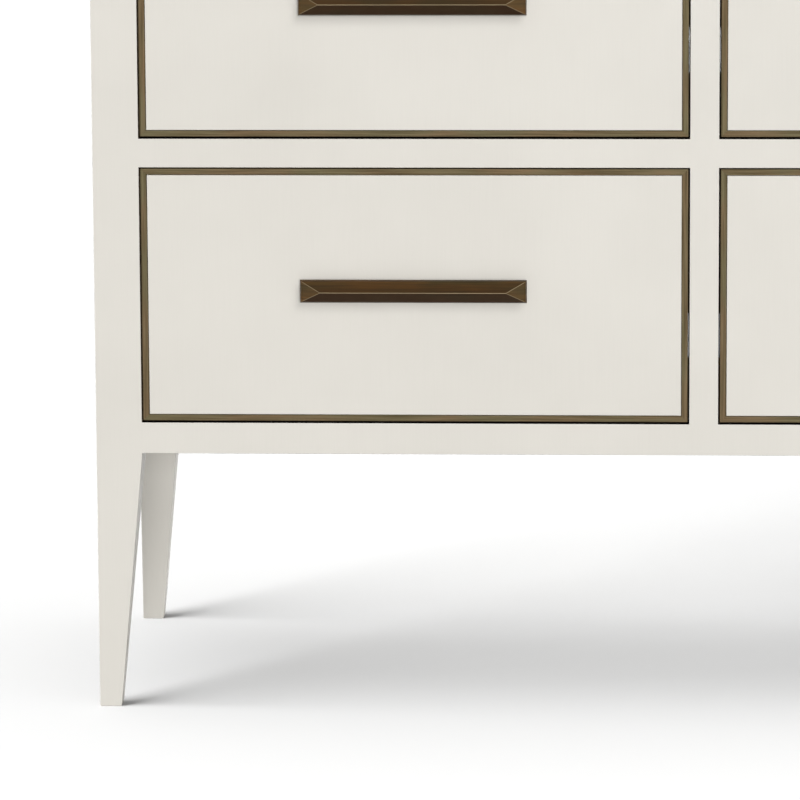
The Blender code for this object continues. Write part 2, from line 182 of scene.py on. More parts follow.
def lattice(cuts: list[np.ndarray], filled: np.ndarray) -> Skin:
    """Skins the filled cells of a box grid.

    A square of the grid is a face where the cell on one side of it is filled and the cell on the
    other side isn't. The grid's squares meet corner to corner, so the skin has no open seam.

    Args:
        cuts: The rising cut planes along x, y and z.
        filled: Whether each cell is solid, one entry fewer than the cuts on each axis.

    Returns:
        The closed skin.
    """
    counts = tuple(len(cut) for cut in cuts)
    padded = np.pad(filled, 1)
    squares = []
    for axis in range(3):
        planes = np.arange(counts[axis])
        edge = np.take(padded, planes, axis) != np.take(padded, planes + 1, axis)
        first = np.argwhere(edge)
        right, up = (axis + 1) % 3, (axis + 2) % 3
        first[:, [right, up]] -= 1
        corners = np.repeat(first[:, None, :], 4, axis=1)
        corners[:, [1, 2], right] += 1
        corners[:, [2, 3], up] += 1
        squares.append(np.ravel_multi_index(tuple(np.moveaxis(corners, -1, 0)), counts))
    used, faces = np.unique(np.concatenate(squares), return_inverse=True)
    at = np.unravel_index(used, counts)
    points = np.stack([cut[index] for cut, index in zip(cuts, at)], axis=-1)
    return Skin(points, faces.reshape(-1, 4).tolist())


def quarter(radius: float, steps: int = 4) -> tuple[np.ndarray, np.ndarray]:
    """A rounded arris: how far each point of the arc lies in from the two faces that it joins.

    The points are radius times (1 - sin a, 1 - cos a), for a from 0 to a quarter turn.

    Args:
        radius: The arc's radius.
        steps: The number of chords.

    Returns:
        The distances in from the first face and in from the second.
    """
    angle = np.linspace(0, math.pi / 2, steps + 1)
    return radius * (1 - np.sin(angle)), radius * (1 - np.cos(angle))


def rectangle_rings(
    face: Face, low: Vector, high: Vector, insets: np.ndarray, depths: np.ndarray
) -> np.ndarray:
    """Carries a profile round a rectangle with mitred corners.

    Ring i is the rectangle drawn in by insets[i] on its four sides, at depths[i] on the third axis.

    Args:
        face: The plane of the rectangle.
        low: The rectangle's lowest corner.
        high: Its highest corner.
        insets: The profile's distances in from the rectangle's edge.
        depths: The profile's places on the third axis.

    Returns:
        The points, as rings by four corners by three.
    """
    right, up, deep = face.value
    rings = np.empty((len(insets), 4, 3))
    rings[:, :, deep] = depths[:, None]
    sides = np.array([1, -1, -1, 1])
    rings[:, :, right] = np.where(sides > 0, low[right], high[right]) + sides * insets[:, None]
    sides = np.array([1, 1, -1, -1])
    rings[:, :, up] = np.where(sides > 0, low[up], high[up]) + sides * insets[:, None]
    return rings


def eased_board(face: Face, low: Vector, high: Vector, radius: float) -> Skin:
    """A board whose long arrises on both faces are rounded.

    Args:
        face: The plane of the board's faces.
        low: Its lowest corner.
        high: Its highest corner.
        radius: The radius of the arrises.

    Returns:
        The closed skin.
    """
    deep = face.value[2]
    inward, down = quarter(radius)
    insets = np.concatenate((inward, inward[::-1]))
    depths = np.concatenate((low[deep] + down, high[deep] - down[::-1]))
    return lofted(rectangle_rings(face, low, high, insets, depths))


def turned(centre: Vector, axis: Vector, radii: np.ndarray, heights: np.ndarray, sides: int = 24) -> Skin:
    """A round piece: the circle of radii[i] at heights[i] along the axis, for each i.

    Args:
        centre: Where the heights start.
        axis: The unit direction in which they rise.
        radii: The radius at each height.
        heights: The heights.
        sides: The number of points in a circle.

    Returns:
        The closed skin.
    """
    angle = np.arange(sides) * 2 * math.pi / sides
    across = np.array(axis.orthogonal().normalized())
    beside = np.cross(np.array(axis), across)
    circle = np.outer(np.cos(angle), across) + np.outer(np.sin(angle), beside)
    rings = radii[:, None, None] * circle + heights[:, None, None] * np.array(axis)
    return lofted(rings + np.array(centre))


def bent_strip(path: np.ndarray, thickness: float, radius: float, steps: int = 4) -> np.ndarray:
    """The outline of sheet metal that is bent square at each inner point of a path.

    With u the direction before a bend and v the one after it, the middle line's arc is
    c - v r cos a + u r sin a, for a from 0 to a quarter turn, round c = point - u r + v r. The
    outline is that line moved to its left by half the thickness, and back along its right.

    Args:
        path: The corners of the middle line, as rows of two numbers.
        thickness: The metal's thickness.
        radius: The radius of the middle line in each bend.
        steps: The number of chords in a bend.

    Returns:
        The outline's points.
    """
    ways = np.diff(path, axis=0)
    ways /= np.linalg.norm(ways, axis=1, keepdims=True)
    before, after = ways[:-1, None], ways[1:, None]
    angle = np.linspace(0, math.pi / 2, steps + 1)[None, :, None]
    centre = path[1:-1, None] + radius * (after - before)
    arcs = centre + radius * (before * np.sin(angle) - after * np.cos(angle))
    heading = before * np.cos(angle) + after * np.sin(angle)
    line = np.concatenate((path[:1], arcs.reshape(-1, 2), path[-1:]))
    heading = np.concatenate((ways[:1], heading.reshape(-1, 2), ways[-1:]))
    aside = np.stack((-heading[:, 1], heading[:, 0]), axis=-1) * thickness / 2
    return np.concatenate((line + aside, (line - aside)[::-1]))


@dataclass(frozen=True)
class PanHead:
    """A screw's pan head with a cross recess, in metres and in shares of its radius and height."""

    radius: float
    height: float
    rim: float = 0.35
    arm_half_width: float = 0.2
    arm_reach: float = 0.7
    arm_slope: float = 0.1
    recess: float = 0.7
    sides: int = 40
    circles: tuple[float, ...] = (1.0, 1.0, 0.97, 0.9, 0.78, 0.68, 0.6, 0.5, 0.38, 0.26, 0.16, 0.08)

    def skin(self, seat: Vector, axis: Vector, turn: float) -> Skin:
        """Works out the head as heights over circles round its axis.

        At radius r the height is the full one times (1 - (r / R)^6)^0.5, and the rim stands upright.
        The recess lies within an arm's half width of either arm's middle line, as far out as the
        arms reach, and its walls slope. The smaller of |x| and |y| is the distance from the nearer
        middle line.

        Args:
            seat: Where the axis meets the surface under the head.
            axis: The unit direction in which the head stands proud.
            turn: How far the cross is turned, in radians.

        Returns:
            The closed skin.
        """
        share = np.array(self.circles)
        angle = np.arange(self.sides) * 2 * math.pi / self.sides
        x, y = share[:, None] * np.cos(angle), share[:, None] * np.sin(angle)
        dome = np.sqrt(np.clip(1 - share**6, 0, 1))
        dome[0], dome[1] = 0, self.rim
        arm = np.clip((self.arm_half_width - np.minimum(np.abs(x), np.abs(y))) / self.arm_slope, 0, 1)
        sunk = arm * np.clip((self.arm_reach - share[:, None]) / self.arm_slope, 0, 1)
        rise = self.height * (dome[:, None] - self.recess * sunk)
        across = np.array(axis.orthogonal().normalized())
        beside = np.cross(np.array(axis), across)
        across, beside = (
            math.cos(turn) * across + math.sin(turn) * beside,
            math.cos(turn) * beside - math.sin(turn) * across,
        )
        flat = self.radius * (x[..., None] * across + y[..., None] * beside)
        return lofted(flat + rise[..., None] * np.array(axis) + np.array(seat))


def dress(made: bpy.types.Object, body: str, slot: str, *finishes: bpy.types.Material) -> None:
    """Gives a finished piece its materials and lets it ride on its body.

    Args:
        made: The piece.
        body: The body that carries it.
        slot: The record's material slot.
        finishes: The materials, in slot order.
    """
    for finish in finishes:
        made.data.materials.append(finish)
    made.data.polygons.foreach_set("use_smooth", np.ones(len(made.data.polygons), dtype=bool))
    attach(made, body)
    log.info("%s: %d faces, %s, rides on %s", made.name, len(made.data.polygons), slot, body)


def flatten(made: bpy.types.Object, degrees: float = 25) -> None:
    """Shades flat faces flat and small arcs round.

    Args:
        made: The piece.
        degrees: The least angle between two faces whose edge stays sharp.
    """
    made.data.set_sharp_from_angle(angle=math.radians(degrees))
    weighted = made.modifiers.new("flat_faces", "WEIGHTED_NORMAL")
    weighted.keep_sharp = True
    weighted.weight = 100


def ease(made: bpy.types.Object, width: float, segments: int = 2, degrees: float = 30) -> None:
    """Rounds a piece's sharp arrises.

    Args:
        made: The piece.
        width: The width of the rounding.
        segments: The number of facets over it.
        degrees: The least angle between two faces whose arris is rounded.
    """
    bevel = made.modifiers.new("eased_arrises", "BEVEL")
    bevel.width = width
    bevel.segments = segments
    bevel.limit_method = "ANGLE"
    bevel.angle_limit = math.radians(degrees)
    bevel.harden_normals = True


def repaint(node: str, finish: bpy.types.Material) -> None:
    """Gives a carried-over node a finish.

    Args:
        node: The node's name.
        finish: Its material.
    """
    for slot in bpy.data.objects[node].material_slots:
        slot.link = "OBJECT"
        slot.material = finish
    log.info("%s: %s", node, finish.name)


def soften(node: str, width: float, touching: float = 0.00001) -> None:
    """Eases the arrises of a carried-over node, whose loose triangles are joined first.

    Args:
        node: The node's name.
        width: The width of the easing.
        touching: The distance within which two triangles' corners are one.
    """
    board = bpy.data.objects[node]
    weld = board.modifiers.new("joined_triangles", "WELD")
    weld.merge_threshold = touching
    ease(board, width, 1)


# Finishes


def linear(hex_colour: int) -> tuple[float, float, float, float]:
    """Turns an sRGB hex colour into linear light.

    A part p up to 0.04045 becomes p / 12.92, and a greater one ((p + 0.055) / 1.055)^2.4.

    Args:
        hex_colour: The colour, two hex digits for each of red, green and blue.

    Returns:
        Red, green, blue and an alpha of one.
    """
    parts = [(hex_colour >> shift & 255) / 255 for shift in (16, 8, 0)]
    light = [p / 12.92 if p <= 0.04045 else ((p + 0.055) / 1.055) ** 2.4 for p in parts]
    return (*light, 1.0)


def add(tree: bpy.types.NodeTree, kind: str, sources: dict | None = None, **settings) -> bpy.types.Node:
    """Adds one shader node.

    Args:
        tree: The node tree that it joins.
        kind: The node's type, without the leading ShaderNode.
        sources: What feeds each input, by name or number: a value or another node's output.
        settings: The node's own settings.

    Returns:
        The node.
    """
    node = tree.nodes.new("ShaderNode" + kind)
    for name, value in settings.items():
        setattr(node, name, value)
    for socket, source in (sources or {}).items():
        if isinstance(source, bpy.types.NodeSocket):
            tree.links.new(source, node.inputs[socket])
        else:
            node.inputs[socket].default_value = source
    return node


def blank(name: str) -> tuple[bpy.types.Material, bpy.types.NodeTree]:
    """Makes a material with an empty node tree.

    Args:
        name: The material's name.

    Returns:
        The material and its tree.
    """
    material = bpy.data.materials.new(name)
    material.use_nodes = True
    material.node_tree.nodes.clear()
    return material, material.node_tree


@dataclass(frozen=True)
class SatinLacquer:
    """Catalysed lacquer sprayed on primed hardwood and rubbed down to a satin.

    The eye gets a soft, nearly even warm white, a faint clouding where the coat is thicker, a hint
    of the fibres under it, and a broad dim gloss that the finest spray texture breaks up.
    """

    name: str
    grain: Grain
    coat: int = 0xE2DED5
    thin_coat: int = 0xDEDAD1
    roughness: float = 0.42

    def material(self) -> bpy.types.Material:
        """Builds the material.

        Returns:
            The new material.
        """
        material, tree = blank(self.name)
        place = add(tree, "TexCoord").outputs["Object"]
        # Clouds about 140 mm across, from the spray passes.
        cloud = add(tree, "TexNoise", {"Vector": place, "Scale": 7.0, "Detail": 3.0, "Roughness": 0.55})
        # Fibres 1.2 mm wide and 60 mm long that show through the coat. Real ones are about 0.3 mm.
        along = add(tree, "Mapping", {"Vector": place, "Scale": self.grain.scale(16, 800)})
        fibre = add(tree, "TexNoise", {
            "Vector": along.outputs[0], "Scale": 1.0, "Detail": 2.0, "Roughness": 0.5,
        })
        # Spray texture 1 mm across.
        peel = add(tree, "TexNoise", {"Vector": place, "Scale": 1000.0, "Detail": 1.0})
        thin = add(tree, "MapRange", {
            "Value": cloud.outputs["Fac"], "From Min": 0.35, "From Max": 0.7, "To Max": 0.75,
        })
        fine = add(tree, "MapRange", {
            "Value": fibre.outputs["Fac"], "From Min": 0.4, "From Max": 0.8, "To Max": 0.35,
        })
        worn = add(tree, "Math", {
            0: thin.outputs[0], 1: fine.outputs[0],
        }, operation="ADD", use_clamp=True)
        colour = add(tree, "Mix", {
            0: worn.outputs[0], 6: linear(self.coat), 7: linear(self.thin_coat),
        }, data_type="RGBA")
        gloss = add(tree, "MapRange", {
            "Value": cloud.outputs["Fac"], "From Min": 0.3, "From Max": 0.7,
            "To Min": self.roughness - 0.04, "To Max": self.roughness + 0.05,
        })
        relief = add(tree, "Bump", {
            "Height": fibre.outputs["Fac"], "Strength": 0.25, "Distance": 0.0001,
        })
        skin = add(tree, "Bump", {
            "Height": peel.outputs["Fac"], "Normal": relief.outputs[0], "Strength": 0.2,
            "Distance": 0.00003,
        })
        shader = add(tree, "BsdfPrincipled", {
            "Base Color": colour.outputs[2], "Roughness": gloss.outputs[0], "Normal": skin.outputs[0],
            "IOR": 1.5,
        })
        add(tree, "OutputMaterial", {"Surface": shader.outputs[0]})
        return material


@dataclass(frozen=True)
class AgedBronze:
    """Drawn bronze, darkened in a patina bath and waxed, with painted highlight and painted shade on it.

    The eye gets brown and olive patches and fine streaks along each bar. Faces that look down, and the
    upper faces towards the ridge, get a dark reddish brown: painted shade, with a reddish patina tint. The
    arrises and the ridge get a pale colour: painted highlight, together with the rubbing of hands. It
    reads the piece's marks: grain, as metres along and across the bar, wear, the share of painted
    highlight from 0 to 1, and under, the share of painted shade, which is 0 where the piece faces forwards
    and highest where it faces down. The phase picks which slice of the patches a piece shows.
    """

    name: str
    brown: int
    olive: int
    dark: int
    # The pale colour is painted highlight on the arrises and ridge, with the rubbing of hands. The dark
    # reddish brown below is painted shade, with a reddish patina tint.
    bright: int = 0x8E7F65
    red: int = 0x2F1E14
    roughness: float = 0.4
    phase: float = 46.58

    def material(self) -> bpy.types.Material:
        """Builds the material.

        Returns:
            The new material.
        """
        material, tree = blank(self.name)
        grain, wear, under = (
            add(tree, "Attribute", attribute_name=mark, attribute_type="GEOMETRY").outputs[socket]
            for mark, socket in (("grain", "Vector"), ("wear", "Fac"), ("under", "Fac"))
        )
        place = add(tree, "TexCoord").outputs["Object"]
        # Patches of patina, 60 mm along the bar and 12 mm across it.
        long = add(tree, "Mapping", {
            "Vector": grain, "Location": (0.0, 0.0, self.phase), "Scale": (16.0, 80.0, 1.0),
        })
        patch = add(tree, "TexNoise", {"Vector": long.outputs[0], "Scale": 1.0, "Detail": 2.0})
        # Streaks of the wax, 1.4 mm wide. The real ones, near 0.2 mm, are too fine to show.
        fine = add(tree, "Mapping", {"Vector": grain, "Scale": (14.0, 700.0, 1.0)})
        streak = add(tree, "TexNoise", {"Vector": fine.outputs[0], "Scale": 1.0, "Detail": 3.0})
        # Grit of the patina, 0.8 mm.
        grit = add(tree, "TexNoise", {"Vector": place, "Scale": 1200.0, "Detail": 1.0})
        turn = add(tree, "MapRange", {
            "Value": patch.outputs["Fac"], "From Min": 0.36, "From Max": 0.64,
        })
        tint = add(tree, "Mix", {
            0: turn.outputs[0], 6: linear(self.brown), 7: linear(self.olive),
        }, data_type="RGBA")
        # Painted shade, with a reddish patina tint, on faces that look down and on upper faces towards the
        # ridge. The olive patches thin it.
        thinned = add(tree, "MapRange", {
            "Value": patch.outputs["Fac"], "From Min": 0.4, "From Max": 0.65, "To Min": 1.0,
            "To Max": 0.7,
        })
        below = add(tree, "Math", {0: under, 1: thinned.outputs[0]}, operation="MULTIPLY")
        reddened = add(tree, "Mix", {
            0: below.outputs[0], 6: tint.outputs[2], 7: linear(self.red),
        }, data_type="RGBA")
        lines = add(tree, "MapRange", {
            "Value": streak.outputs["Fac"], "From Min": 0.42, "From Max": 0.72, "To Max": 0.7,
        })
        shade = add(tree, "Mix", {
            0: lines.outputs[0], 6: reddened.outputs[2], 7: linear(self.dark),
        }, data_type="RGBA")
        # Painted highlight: the arrises and the ridge take the pale colour, together with the rubbing of
        # hands.
        rubbed = add(tree, "Mix", {
            0: wear, 6: shade.outputs[2], 7: linear(self.bright),
        }, data_type="RGBA")
        gloss = add(tree, "MapRange", {
            "Value": streak.outputs["Fac"], "From Min": 0.3, "From Max": 0.7,
            "To Min": self.roughness - 0.07, "To Max": self.roughness + 0.08,
        })
        relief = add(tree, "Bump", {
            "Height": streak.outputs["Fac"], "Strength": 0.3, "Distance": 0.00008,
        })
        skin = add(tree, "Bump", {
            "Height": grit.outputs["Fac"], "Normal": relief.outputs[0], "Strength": 0.2,
            "Distance": 0.00003,
        })
        shader = add(tree, "BsdfPrincipled", {
            "Base Color": rubbed.outputs[2], "Metallic": 1.0, "Roughness": gloss.outputs[0],
            "Normal": skin.outputs[0],
        })
        add(tree, "OutputMaterial", {"Surface": shader.outputs[0]})
        return material


@dataclass(frozen=True)
class SandedTimber:
    """Planed and sanded timber under a thin clear sealer.

    The eye gets growth bands that wander along the board, short fibres, and small pores that break
    its low gloss.
    """

    name: str
    grain: Grain
    pale: int
    band: int
    pore: int
    band_width: float
    roughness: float = 0.46

    def material(self) -> bpy.types.Material:
        """Builds the material.

        Returns:
            The new material.
        """
        material, tree = blank(self.name)
        place = add(tree, "TexCoord").outputs["Object"]
        across = 1 / self.band_width
        # Growth bands, one width across and about fourteen along.
        wide = add(tree, "Mapping", {"Vector": place, "Scale": self.grain.scale(across / 14, across)})
        band = add(tree, "TexNoise", {
            "Vector": wide.outputs[0], "Scale": 1.0, "Detail": 4.0, "Roughness": 0.6, "Distortion": 0.6,
        })
        # Fibres 1 mm wide and 40 mm long, coarser than the real ones, which are too fine to show.
        thin = add(tree, "Mapping", {"Vector": place, "Scale": self.grain.scale(25, 1000)})
        fibre = add(tree, "TexNoise", {"Vector": thin.outputs[0], "Scale": 1.0, "Detail": 3.0})
        growth = add(tree, "MapRange", {
            "Value": band.outputs["Fac"], "From Min": 0.35, "From Max": 0.68,
        })
        timber = add(tree, "Mix", {
            0: growth.outputs[0], 6: linear(self.pale), 7: linear(self.band),
        }, data_type="RGBA")
        open_pore = add(tree, "MapRange", {
            "Value": fibre.outputs["Fac"], "From Min": 0.55, "From Max": 0.8, "To Max": 0.6,
        })
        colour = add(tree, "Mix", {
            0: open_pore.outputs[0], 6: timber.outputs[2], 7: linear(self.pore),
        }, data_type="RGBA")
        gloss = add(tree, "MapRange", {
            "Value": fibre.outputs["Fac"], "From Min": 0.3, "From Max": 0.7,
            "To Min": self.roughness - 0.05, "To Max": self.roughness + 0.1,
        })
        relief = add(tree, "Bump", {
            "Height": fibre.outputs["Fac"], "Strength": 0.4, "Distance": 0.00015,
        })
        shader = add(tree, "BsdfPrincipled", {
            "Base Color": colour.outputs[2], "Roughness": gloss.outputs[0], "Normal": relief.outputs[0],
            "IOR": 1.5,
        })
        add(tree, "OutputMaterial", {"Surface": shader.outputs[0]})
        return material


@dataclass(frozen=True)
class ZincPlatedSteel:
    """Cold-rolled steel with a bright zinc plating.

    The eye gets a cool grey metal with rolling lines along the strip and a slight clouding.
    """

    name: str = "zinc_plated_steel"
    plating: int = 0xC3C6CA
    dull: int = 0xA5A9AE
    roughness: float = 0.32

    def material(self) -> bpy.types.Material:
        """Builds the material.

        Returns:
            The new material.
        """
        material, tree = blank(self.name)
        place = add(tree, "TexCoord").outputs["Object"]
        # Clouds of the plating, 8 mm.
        cloud = add(tree, "TexNoise", {"Vector": place, "Scale": 120.0, "Detail": 2.0})
        # Rolling lines 0.8 mm apart along the depth of the chest.
        rolled = add(tree, "Mapping", {"Vector": place, "Scale": Grain.DEEP.scale(6, 1200)})
        line = add(tree, "TexNoise", {"Vector": rolled.outputs[0], "Scale": 1.0, "Detail": 2.0})
        both = add(tree, "Mix", {
            0: 0.5, 2: cloud.outputs["Fac"], 3: line.outputs["Fac"],
        }, data_type="FLOAT")
        dulled = add(tree, "MapRange", {"Value": both.outputs[0], "From Min": 0.4, "From Max": 0.62})
        colour = add(tree, "Mix", {
            0: dulled.outputs[0], 6: linear(self.plating), 7: linear(self.dull),
        }, data_type="RGBA")
        gloss = add(tree, "MapRange", {
            "Value": both.outputs[0], "From Min": 0.4, "From Max": 0.62,
            "To Min": self.roughness - 0.05, "To Max": self.roughness + 0.1,
        })
        relief = add(tree, "Bump", {
            "Height": line.outputs["Fac"], "Strength": 0.2, "Distance": 0.00004,
        })
        shader = add(tree, "BsdfPrincipled", {
            "Base Color": colour.outputs[2], "Metallic": 1.0, "Roughness": gloss.outputs[0],
            "Normal": relief.outputs[0],
        })
        add(tree, "OutputMaterial", {"Surface": shader.outputs[0]})
        return material


@dataclass(frozen=True)
class ShadowStain:
    """A matt black-brown paint on the edges that face each other across a drawer's gap: painted shade.

    The eye gets a crisp dark line round each drawer, the painted shade of the gap, and on an open one a
    dull dark surface in which the fibres show a little.
    """

    name: str
    dark: int
    fibre: int

    def material(self) -> bpy.types.Material:
        """Builds the material.

        Returns:
            The new material.
        """
        material, tree = blank(self.name)
        place = add(tree, "TexCoord").outputs["Object"]
        # Fibres 2 mm wide, coarser than the real ones, which are too fine to show.
        fibre = add(tree, "TexNoise", {"Vector": place, "Scale": 500.0, "Detail": 3.0})
        colour = add(tree, "Mix", {
            0: fibre.outputs["Fac"], 6: linear(self.dark), 7: linear(self.fibre),
        }, data_type="RGBA")
        relief = add(tree, "Bump", {
            "Height": fibre.outputs["Fac"], "Strength": 0.4, "Distance": 0.0001,
        })
        # Matt, so the painted shade shows no gloss even at a low angle.
        matt = add(tree, "BsdfDiffuse", {
            "Color": colour.outputs[2], "Roughness": 1.0, "Normal": relief.outputs[0],
        })
        add(tree, "OutputMaterial", {"Surface": matt.outputs[0]})
        return material


@dataclass
class Finishes:
    """Every finish of the chest, made once."""

    lacquer: bpy.types.Material
    brown_stain: bpy.types.Material
    black_stain: bpy.types.Material
    level_lacquer: bpy.types.Material
    trim_bronze: bpy.types.Material
    pull_bronze: bpy.types.Material
    side_maple: bpy.types.Material
    back_maple: bpy.types.Material
    plywood: bpy.types.Material
    upright_plywood: bpy.types.Material
    steel: bpy.types.Material

    @classmethod
    def mixed(cls) -> "Finishes":
        """Builds all the materials.

        Returns:
            The finishes.
        """
        maple = {"pale": 0xE0C9A0, "band": 0xCFB287, "pore": 0xB7966B, "band_width": 0.03}
        birch = {"pale": 0xE2CDA9, "band": 0xD2B88F, "pore": 0xB99B72, "band_width": 0.06}
        # The trim and the pull are one bronze: the trim's paler colours are painted light on its
        # front-facing bars, and the pull's darker ones are painted shade on its sloping facets.
        trim = AgedBronze("aged_bronze_trim", brown=0x5E4F3B, olive=0x59523D, dark=0x453C28, roughness=0.6)
        pull = AgedBronze("aged_bronze_pull", brown=0x5F4528, olive=0x4A3E28, dark=0x3A2D20)
        return cls(
            lacquer=SatinLacquer("off_white_lacquer", Grain.UPRIGHT).material(),
            # Dark paints for the drawer gaps: painted shade, darker on level faces.
            brown_stain=ShadowStain("brown_gap_stain", dark=0x33291F, fibre=0x54483B).material(),
            black_stain=ShadowStain("black_gap_stain", dark=0x0C0A08, fibre=0x15120F).material(),
            level_lacquer=SatinLacquer("off_white_lacquer_level", Grain.ACROSS).material(),
            trim_bronze=trim.material(),
            pull_bronze=pull.material(),
            side_maple=SandedTimber("maple_deep_grain", Grain.DEEP, **maple).material(),
            back_maple=SandedTimber("maple_cross_grain", Grain.ACROSS, **maple).material(),
            plywood=SandedTimber("birch_plywood", Grain.ACROSS, **birch).material(),
            upright_plywood=SandedTimber("birch_plywood_upright", Grain.UPRIGHT, **birch).material(),
            steel=ZincPlatedSteel().material(),
        )


# The chest


@dataclass
class Case:
    """The fixed case: a seamless lacquered shell on four tapered legs, its top and inner panels.

    The feet are square, and the rebate in the rear posts takes the back board.
    """

    finishes: Finishes
    foot_width: float = 0.0217
    rebate_width: float = 0.0100
    arris: float = 0.0006
    top_arris: float = 0.0015
    back_recess: float = 0.0006
    back_screw: PanHead = PanHead(0.0038, 0.0005)
    back_screw_inset: float = 0.0150
    back_screw_rows: tuple[int, int] = (5, 4)
    back_screw_turn: float = 0.4

    def build(self) -> None:
        """Builds and dresses every piece of the case."""
        self.shell()
        self.top()
        self.back()
        self.inner_panels()

    def shell(self) -> None:
        """Skins posts, legs, side panels, front rails and stile as one painted surface.

        The cells of a box grid are filled where one of those parts is. Below the case, each point's
        distance from the leg's two outer faces is shrunk to the share of the post's width and depth
        that the leg has at that height, which falls evenly to the foot.
        """
        post_low, post_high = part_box("front_right_post")
        rear_low, rear_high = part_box("rear_right_post")
        rail_low, rail_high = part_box("bottom_front_rail")
        middle_low, middle_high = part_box("middle_front_rail")
        top_low, top_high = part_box("top_front_rail")
        panel_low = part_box("right_side_panel")[0]
        back_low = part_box("back_panel")[0]
        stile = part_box("centre_stile")[1].x
        inner, outer = post_low.x, post_high.x
        rebate = inner + self.rebate_width
        right = [stile, inner, rebate, panel_low.x, outer]
        cuts = [
            np.array([-x for x in reversed(right)] + right),
            np.array([post_low.y, rail_high.y, top_high.y, rear_low.y, back_low.y, rear_high.y]),
            np.array([0, rail_low.z, rail_high.z, middle_low.z, middle_high.z, top_low.z, top_high.z]),
        ]
        x, y, z = np.meshgrid(*[(cut[1:] + cut[:-1]) / 2 for cut in cuts], indexing="ij")
        x = np.abs(x)
        cased = z > rail_low.z
        posts = (x > inner) & ((y < post_high.y) | (y > rear_low.y))
        panels = (x > panel_low.x) & cased
        low_rails = cased & ((z < rail_high.z) | ((z > middle_low.z) & (z < middle_high.z)))
        front = (y < rail_high.y) & (low_rails | (cased & (x < stile)))
        stretcher = (y < top_high.y) & (z > top_low.z)
        let_in = (x < rebate) & (y > back_low.y) & cased
        skin = lattice(cuts, (posts | panels | front | stretcher) & ~let_in)
        points = skin.points
        share = np.minimum(points[:, 2] / rail_low.z, 1)
        for axis, far in ((0, (-outer, outer)), (1, (post_low.y, rear_high.y))):
            full = (post_high - post_low)[axis]
            kept = (self.foot_width + (full - self.foot_width) * share) / full
            place = points[:, axis]
            face = np.where(place < sum(far) / 2, *far)
            points[:, axis] = face + (place - face) * kept
        made = skin.piece("lacquered_case")
        ease(made, self.arris)
        # The faces that look into the openings get dark paint: painted shade in the drawers' gaps.
        stains = self.finishes.brown_stain, self.finishes.black_stain
        dress(made, "case", "lacquer", self.finishes.lacquer, *stains)
        self.stain_openings(made, inner, rail_high, top_low.z)
        covered = [f"{end}_{side}_post" for end in ("front", "rear") for side in ("left", "right")]
        covered += ["bottom_front_rail", "middle_front_rail", "top_front_rail", "centre_stile"]
        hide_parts(*covered, "left_side_panel", "right_side_panel")

    @staticmethod
    def stain_openings(made: bpy.types.Object, inner: float, rail_high: Vector, ceiling: float) -> None:
        """Paints shade on the faces that look into the drawer openings, as deep as the front rails.

        Upright ones get the second material, and level ones, painted darker still, the third.

        Args:
            made: The shell.
            inner: The distance of the openings' outer sides from the middle.
            rail_high: The highest corner of the bottom front rail.
            ceiling: The height of the upper openings' tops.
        """
        count = len(made.data.polygons)
        centre, normal = np.empty(count * 3), np.empty(count * 3)
        made.data.polygons.foreach_get("center", centre)
        made.data.polygons.foreach_get("normal", normal)
        x, y, z = centre.reshape(-1, 3).T
        tilt = np.abs(normal.reshape(-1, 3))
        slack, steep = 0.001, 0.5
        inside = (np.abs(x) < inner + slack) & (y < rail_high.y) & (tilt[:, 1] < steep)
        inside &= (z > rail_high.z - slack) & (z < ceiling + slack)
        made.data.polygons.foreach_set("material_index", np.where(inside, 1 + (tilt[:, 2] > steep), 0))

    def top(self) -> None:
        """The top board, with all its arrises eased by an arc."""
        low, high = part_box("top_panel")
        made = eased_board(Face.LEVEL, low, high, self.top_arris).piece("lacquered_top")
        dress(made, "case", "lacquer", self.finishes.level_lacquer)
        flatten(made)
        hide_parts("top_panel")

    def back(self) -> None:
        """The back board, set in a little, and the flat screws that hold it along its four edges."""
        low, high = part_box("back_panel")
        high = high - Vector((0, self.back_recess, 0))
        made = eased_board(Face.FRONT, low, high, self.arris).piece("lacquered_back")
        dress(made, "case", "lacquer", self.finishes.level_lacquer)
        flatten(made)
        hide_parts("back_panel")
        inset = self.back_screw_inset
        across, upright = self.back_screw_rows
        x = np.linspace(low.x + inset, high.x - inset, across)
        z = np.linspace(low.z + inset, high.z - inset, upright)
        places = [(a, b) for a in x for b in (z[0], z[-1])]
        places += [(a, b) for a in (x[0], x[-1]) for b in z[1:-1]]
        skins = [
            self.back_screw.skin(Vector((a, high.y, b)), Vector((0, 1, 0)), self.back_screw_turn * number)
            for number, (a, b) in enumerate(places)
        ]
        made = sum(skins[1:], skins[0]).piece("back_screws")
        dress(made, "case", "zinc_steel", self.finishes.steel)
        flatten(made)

    def inner_panels(self) -> None:
        """Gives the carried-over boards of the case their finishes."""
        boards = {
            "bottom_panel": self.finishes.level_lacquer,
            "centre_partition": self.finishes.upright_plywood,
            "rear_bottom_rail": self.finishes.back_maple,
            "rear_top_rail": self.finishes.back_maple,
        }
        for name, finish in boards.items():
            repaint(name, finish)


